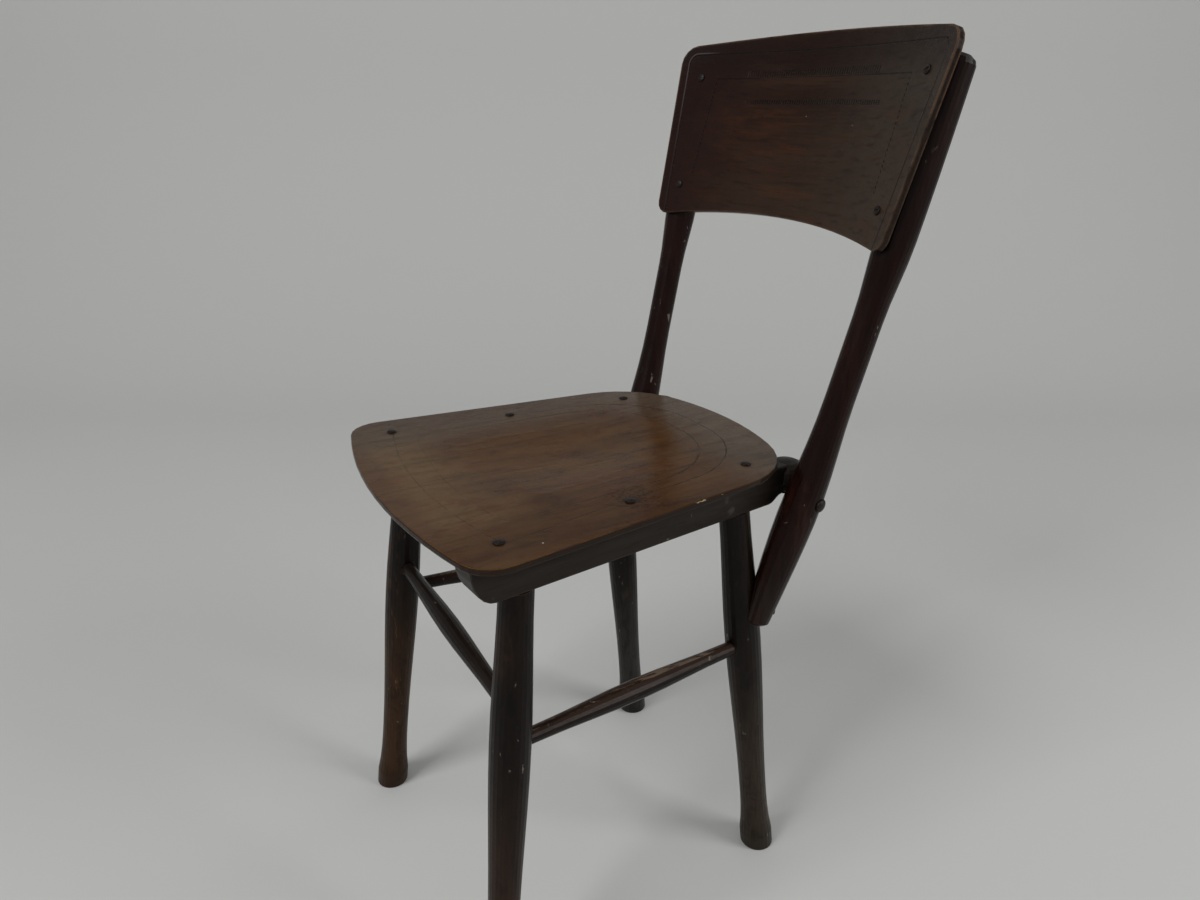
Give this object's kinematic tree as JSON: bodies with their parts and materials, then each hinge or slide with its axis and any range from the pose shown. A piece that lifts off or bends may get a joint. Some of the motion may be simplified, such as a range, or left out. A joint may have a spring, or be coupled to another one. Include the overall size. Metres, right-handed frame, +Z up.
{
  "type": "worn varnished wooden side chair with plywood seat and back",
  "caption": "Old wooden side chair: turned splayed legs, two leaning turned posts bolted to side rails, a nailed plywood seat and a curved screwed plywood back.",
  "frame": {"origin": "on the floor, under the middle of the chair's bounding box", "axes": "+Z up, the front of the chair faces -Y, the sitter's left hand side is at +X"},
  "size_m": [0.3604, 0.471, 0.8167],
  "materials": {
    "seat_plywood": "worn brown varnish on plywood",
    "back_plywood": "dark worn varnish on plywood",
    "rail_wood": "dark stained, scuffed",
    "leg_wood": "dark brown worn varnish",
    "post_wood": "dark red brown worn varnish",
    "stretcher_wood": "dark brown worn varnish",
    "dark_iron": "dark rusted iron"
  },
  "bodies": {
    "root": {"seat_panel": "seat_plywood", "back_panel": "back_plywood", "rail_right": "rail_wood", "rail_left": "rail_wood", "leg_front_right": "leg_wood", "leg_front_left": "leg_wood", "leg_rear_right": "leg_wood", "leg_rear_left": "leg_wood", "post_right": "post_wood", "post_left": "post_wood", "stretcher_front": "stretcher_wood", "stretcher_right": "stretcher_wood", "stretcher_left": "stretcher_wood", "seat_nail_front_right": "dark_iron", "seat_nail_front_left": "dark_iron", "seat_nail_middle_right": "dark_iron", "seat_nail_middle_left": "dark_iron", "seat_nail_rear_right": "dark_iron", "seat_nail_rear_left": "dark_iron", "back_screw_upper_right": "dark_iron", "back_screw_upper_left": "dark_iron", "back_screw_lower_right": "dark_iron", "back_screw_lower_left": "dark_iron", "post_bolt_right": "dark_iron", "post_bolt_left": "dark_iron", "foot_screw_right": "dark_iron", "foot_screw_left": "dark_iron"}
  },
  "joints": []
}
